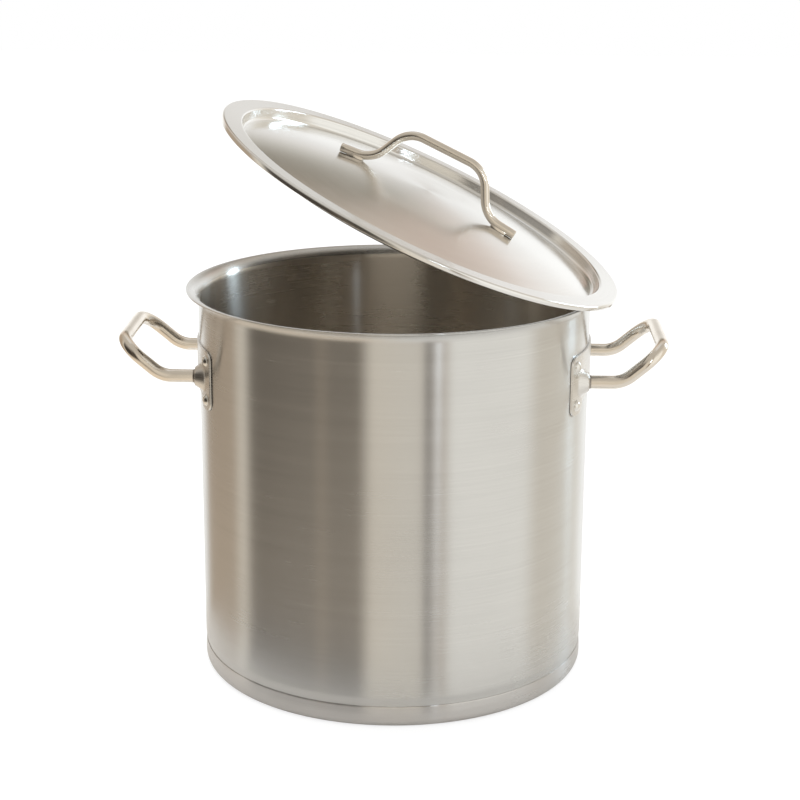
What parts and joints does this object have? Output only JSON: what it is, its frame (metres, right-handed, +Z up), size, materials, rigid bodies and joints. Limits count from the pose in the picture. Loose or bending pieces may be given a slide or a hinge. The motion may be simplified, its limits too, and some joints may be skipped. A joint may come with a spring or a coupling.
{
  "type": "stock pot",
  "caption": "Tall stainless steel stock pot with a sandwich base, riveted brackets with bent tube handles, and a loose recessed lid tipped open on the rim.",
  "frame": {"origin": "centre of the flat underside of the base, where the pot stands", "axes": "+Z up along the pot's axis; +X towards the right-hand side handle, so the two side handles lie along X; -Y is the front"},
  "size_m": [0.5, 0.3936, 0.5229],
  "materials": {
    "pot_steel": "brushed round the pot, satin inside",
    "base_aluminium": "hidden core, as cast",
    "base_steel": "polished",
    "bracket_steel": "satin",
    "handle_steel": "polished tube",
    "weld_steel": "dull weld bead",
    "rivet_steel": "polished rivet heads",
    "lid_steel": "brushed in circles, polished well wall",
    "lid_handle_steel": "polished rod"
  },
  "bodies": {
    "pot": {"pot_body": "pot_steel", "base_core": "base_aluminium", "base_cap": "base_steel", "bracket_left": "bracket_steel", "bracket_right": "bracket_steel", "handle_left": "handle_steel", "handle_right": "handle_steel", "handle_welds_left": "weld_steel", "handle_welds_right": "weld_steel", "rivets_left_front": "rivet_steel", "rivets_left_rear": "rivet_steel", "rivets_right_front": "rivet_steel", "rivets_right_rear": "rivet_steel"},
    "lid": {"lid_panel": "lid_steel", "lid_handle": "lid_handle_steel", "lid_handle_welds": "weld_steel"}
  },
  "joints": [
    {"name": "lid_tilt", "type": "hinge", "parent": "pot", "child": "lid", "pos_m": [0.19313, -0.02303, 0.3405], "axis": [0.1184, 0.993, 0], "range_deg": [-24.8, 35.2]}
  ]
}
